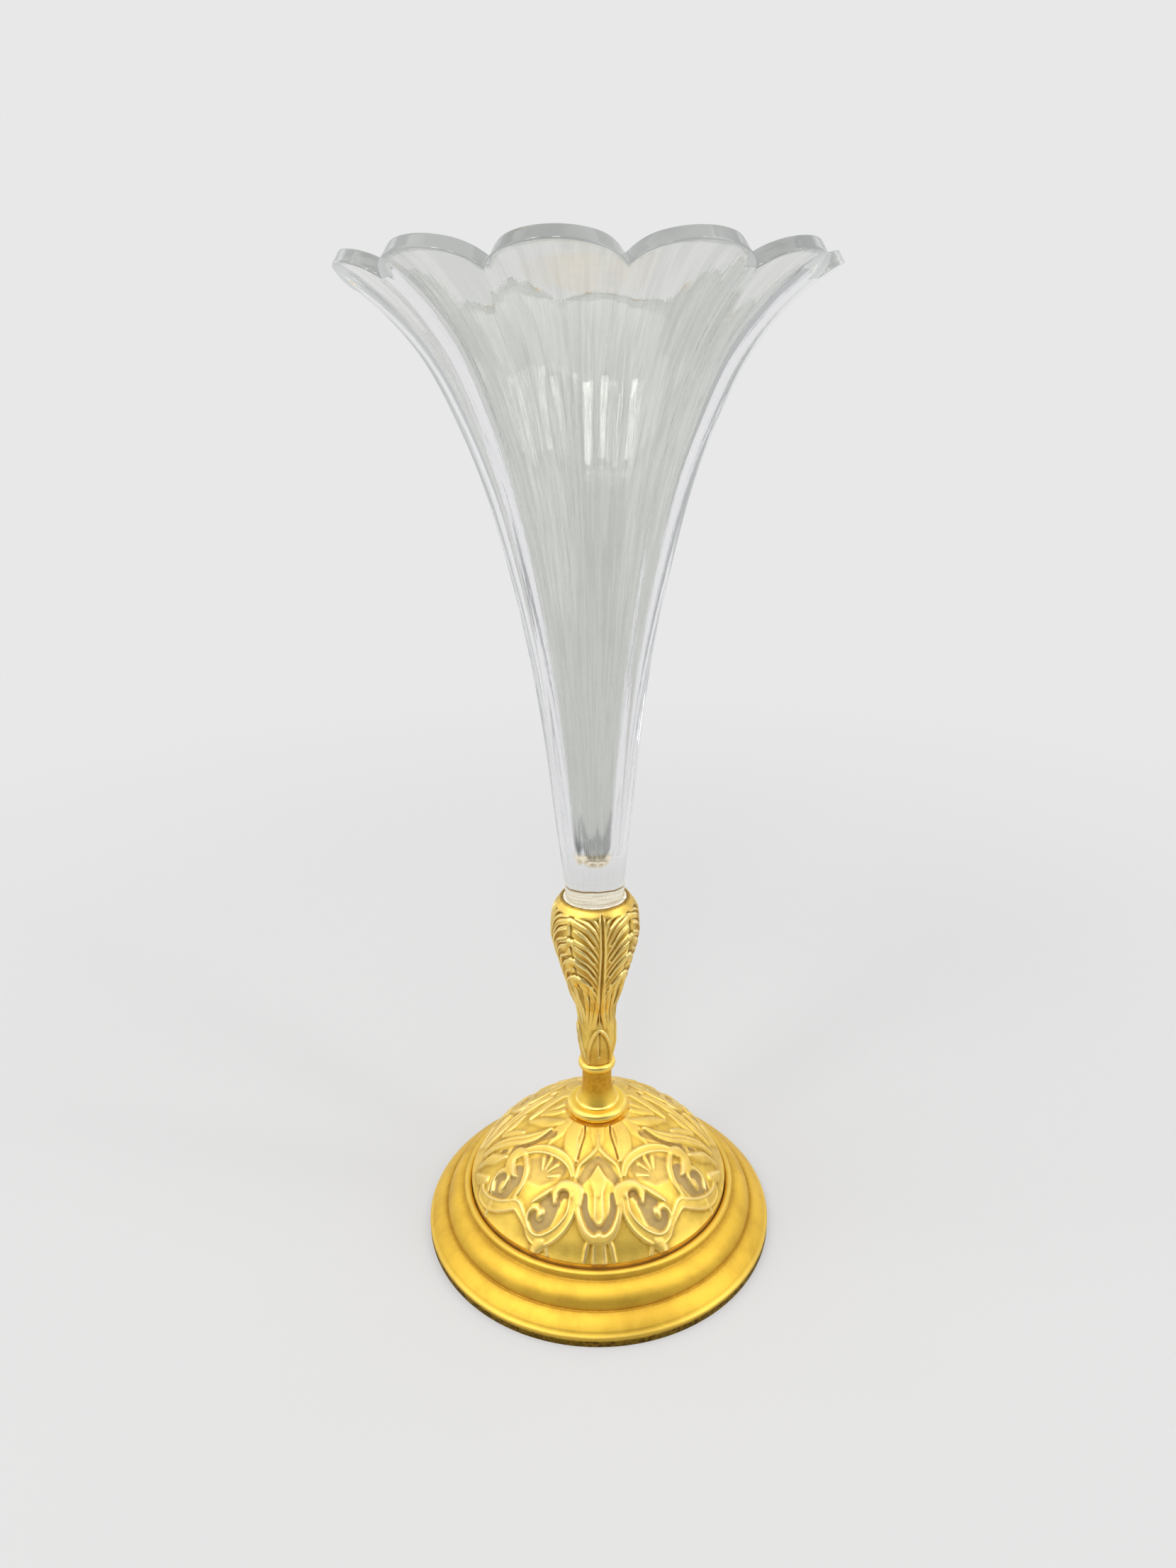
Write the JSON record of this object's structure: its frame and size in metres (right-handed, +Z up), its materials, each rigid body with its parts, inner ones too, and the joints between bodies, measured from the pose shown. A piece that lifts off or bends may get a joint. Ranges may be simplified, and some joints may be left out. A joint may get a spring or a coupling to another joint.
{
  "type": "trumpet vase",
  "caption": "Slender cut crystal trumpet with a scalloped mouth, bedded in a gilt cast leaf socket on a domed relief foot.",
  "frame": {"origin": "centre of the foot on the surface that the vase stands on", "axes": "+Z up along the vase's axis, -Y towards the front, +X to the right seen from the front"},
  "size_m": [0.141, 0.141, 0.3303],
  "materials": {
    "crystal": "polished cut lead crystal",
    "plaster": "matte bedding plaster",
    "gilt": "satin gilt, worn, with dark patina in the hollows",
    "gilt_ring": "satin gilt, spun, browner at its side",
    "gilt_neck": "satin gilt, turned",
    "hardware": "plain turned steel"
  },
  "bodies": {
    "root": {"glass_trumpet": "crystal", "glass_bedding": "plaster", "leaf_socket": "gilt", "bead_ring": "gilt_neck", "neck_spool": "gilt_neck", "foot_collar": "gilt_neck", "relief_dome": "gilt", "base_moulding": "gilt_ring", "tie_rod": "hardware", "rod_washer": "hardware", "rod_nut": "hardware", "base_screws": "hardware"}
  },
  "joints": []
}
